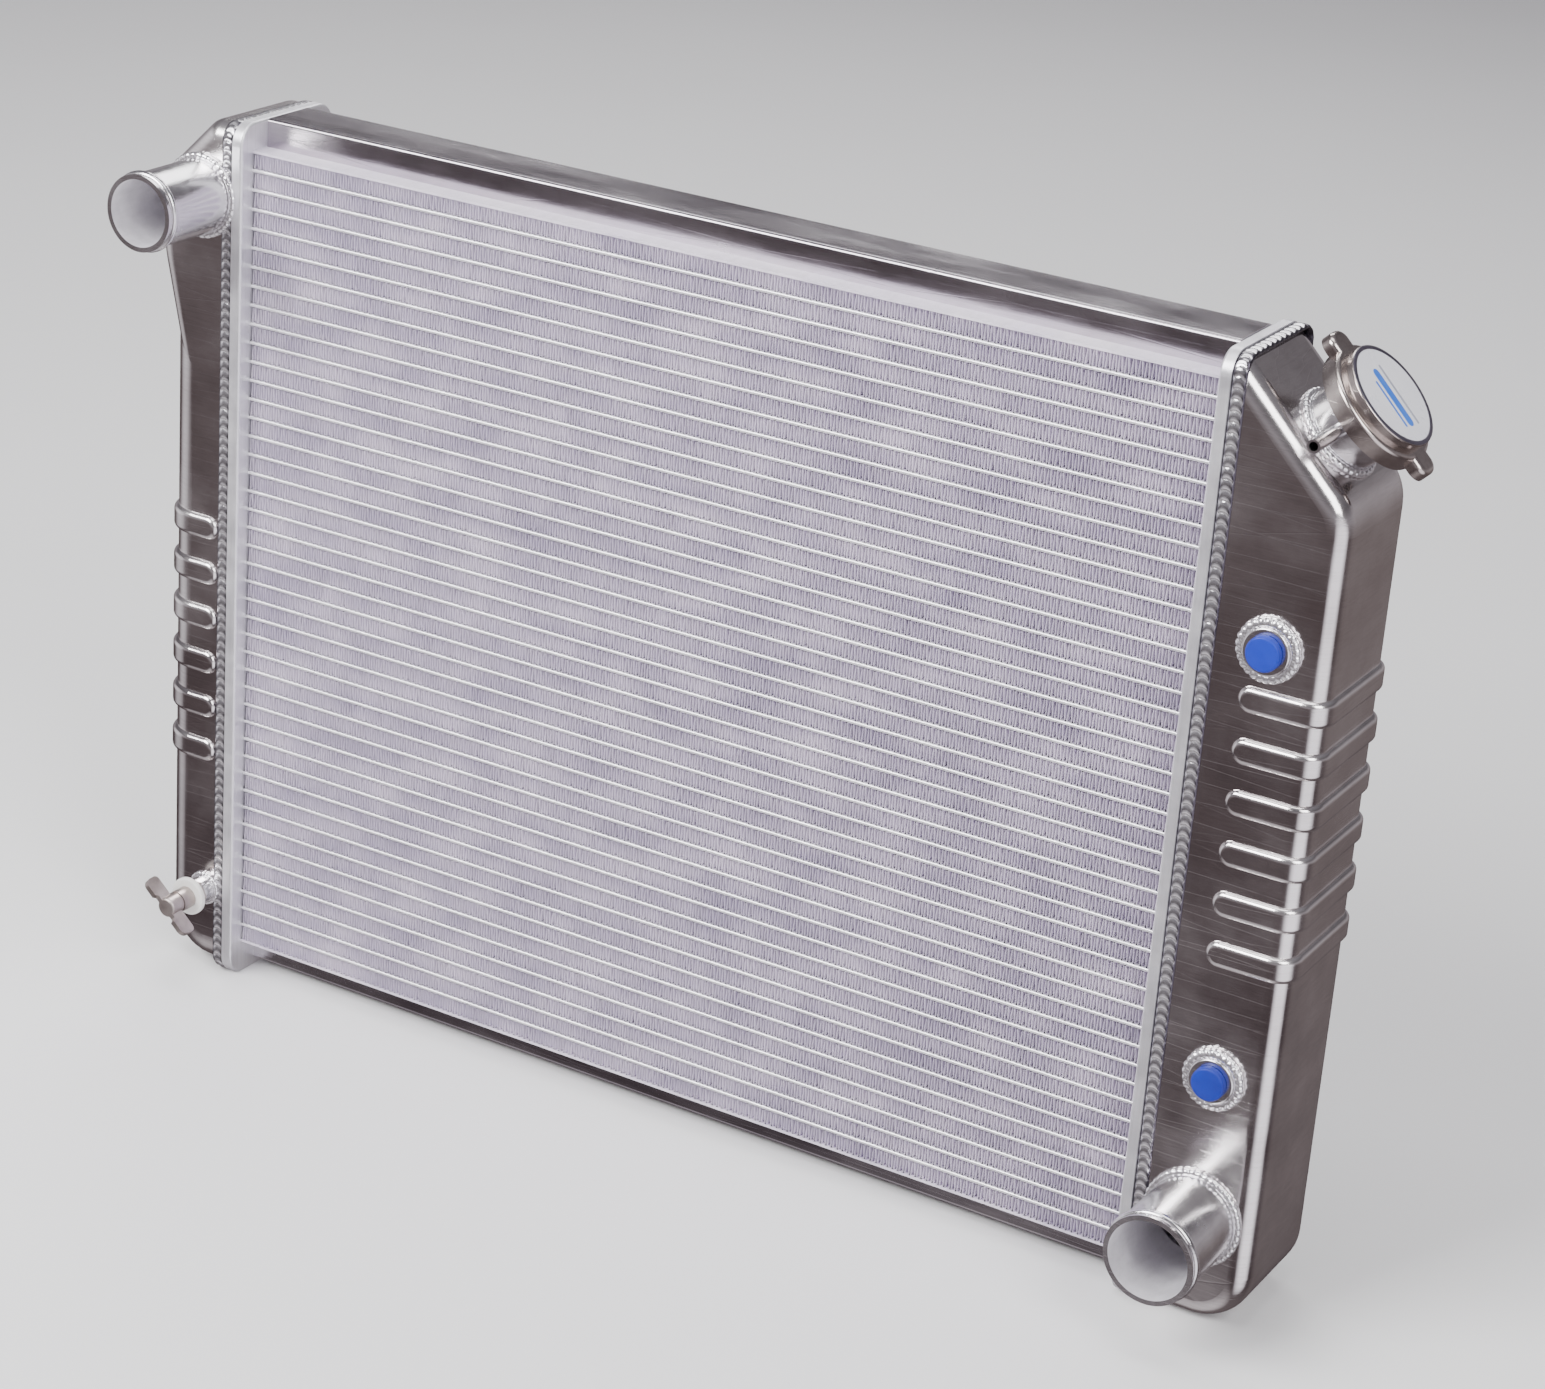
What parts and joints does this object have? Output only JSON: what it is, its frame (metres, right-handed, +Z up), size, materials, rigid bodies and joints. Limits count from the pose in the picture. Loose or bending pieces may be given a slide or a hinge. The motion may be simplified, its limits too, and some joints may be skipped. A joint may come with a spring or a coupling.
{
  "type": "car radiator",
  "caption": "Crossflow aluminium car radiator: tube-and-fin core, two welded side tanks, angled hose necks, pressure cap, drain petcock and plugged oil cooler ports.",
  "frame": {"origin": "centre of the bottom of the whole radiator, standing on its header feet", "axes": "+X across the core, from the tank with the drain to the tank with the cap; -Y the way the hose necks point; +Z up"},
  "size_m": [0.6759, 0.1238, 0.4811],
  "materials": {
    "core_aluminium": "semi-matte brazed",
    "channel_aluminium": "brushed",
    "header_aluminium": "satin",
    "tank_aluminium": "polished, finely brushed",
    "weld_aluminium": "as welded",
    "cap_steel": "polished stainless",
    "label_white": "printed label",
    "plug_blue": "moulded",
    "rubber_black": "moulded",
    "petcock_nickel": "nickel plated, dull",
    "washer_white": "moulded"
  },
  "bodies": {
    "root": {"front_tubes": "core_aluminium", "rear_tubes": "core_aluminium", "cooling_fins": "core_aluminium", "top_side_plate": "core_aluminium", "bottom_side_plate": "core_aluminium", "top_channel": "channel_aluminium", "bottom_channel": "channel_aluminium", "left_header": "header_aluminium", "right_header": "header_aluminium", "left_tank": "tank_aluminium", "right_tank": "tank_aluminium", "upper_hose_neck": "tank_aluminium", "lower_hose_neck": "tank_aluminium", "filler_neck": "tank_aluminium", "overflow_nipple": "tank_aluminium", "upper_cooler_port": "tank_aluminium", "lower_cooler_port": "tank_aluminium", "drain_bung": "tank_aluminium", "oil_cooler": "tank_aluminium", "left_seam_weld": "weld_aluminium", "right_seam_weld": "weld_aluminium", "upper_neck_weld": "weld_aluminium", "lower_neck_weld": "weld_aluminium", "upper_port_weld": "weld_aluminium", "lower_port_weld": "weld_aluminium", "filler_weld": "weld_aluminium", "drain_weld": "weld_aluminium", "petcock_body": "petcock_nickel", "petcock_washer": "washer_white"},
    "cap_valve": {"cap_gasket": "rubber_black", "cap_diaphragm": "cap_steel", "cap_rivet": "cap_steel"},
    "cap_shell": {"cap_shell": "cap_steel", "cap_label": "label_white"},
    "pressure_valve": {"pressure_valve": "cap_steel", "valve_seal": "rubber_black", "valve_spring": "cap_steel"},
    "petcock_stem": {"petcock_stem": "petcock_nickel"},
    "petcock_handle": {"petcock_handle": "petcock_nickel"},
    "upper_port_plug": {"upper_port_plug": "plug_blue"},
    "lower_port_plug": {"lower_port_plug": "plug_blue"}
  },
  "joints": [
    {"name": "cap_lift", "type": "slide", "parent": "root", "child": "cap_valve", "axis": [0.7071, 0, 0.7071], "range_m": [0, 0.04]},
    {"name": "cap_turn", "type": "hinge", "parent": "cap_valve", "child": "cap_shell", "pos_m": [0.31145, 0.02355, 0.45459], "axis": [0.7071, 0, 0.7071], "range_deg": [0, 100]},
    {"name": "valve_lift", "type": "slide", "parent": "cap_valve", "child": "pressure_valve", "axis": [0.7071, 0, 0.7071], "range_m": [0, 0.003], "stiffness_N_per_m": 500, "springref_m": -0.002},
    {"name": "petcock_travel", "type": "slide", "parent": "root", "child": "petcock_stem", "axis": [0, -1, 0], "range_m": [0, 0.00225]},
    {"name": "petcock_turn", "type": "hinge", "parent": "petcock_stem", "child": "petcock_handle", "pos_m": [-0.30245, -0.03645, 0.0485], "axis": [0, -1, 0], "range_deg": [-30, 570]},
    {"name": "upper_plug_pull", "type": "slide", "parent": "root", "child": "upper_port_plug", "axis": [0, -1, 0], "range_m": [0, 0.03]},
    {"name": "lower_plug_pull", "type": "slide", "parent": "root", "child": "lower_port_plug", "axis": [0, -1, 0], "range_m": [0, 0.03]}
  ],
  "couplings": [
    {"joint": "petcock_turn", "follows": "petcock_travel", "rad_per_m": 4188.8}
  ]
}
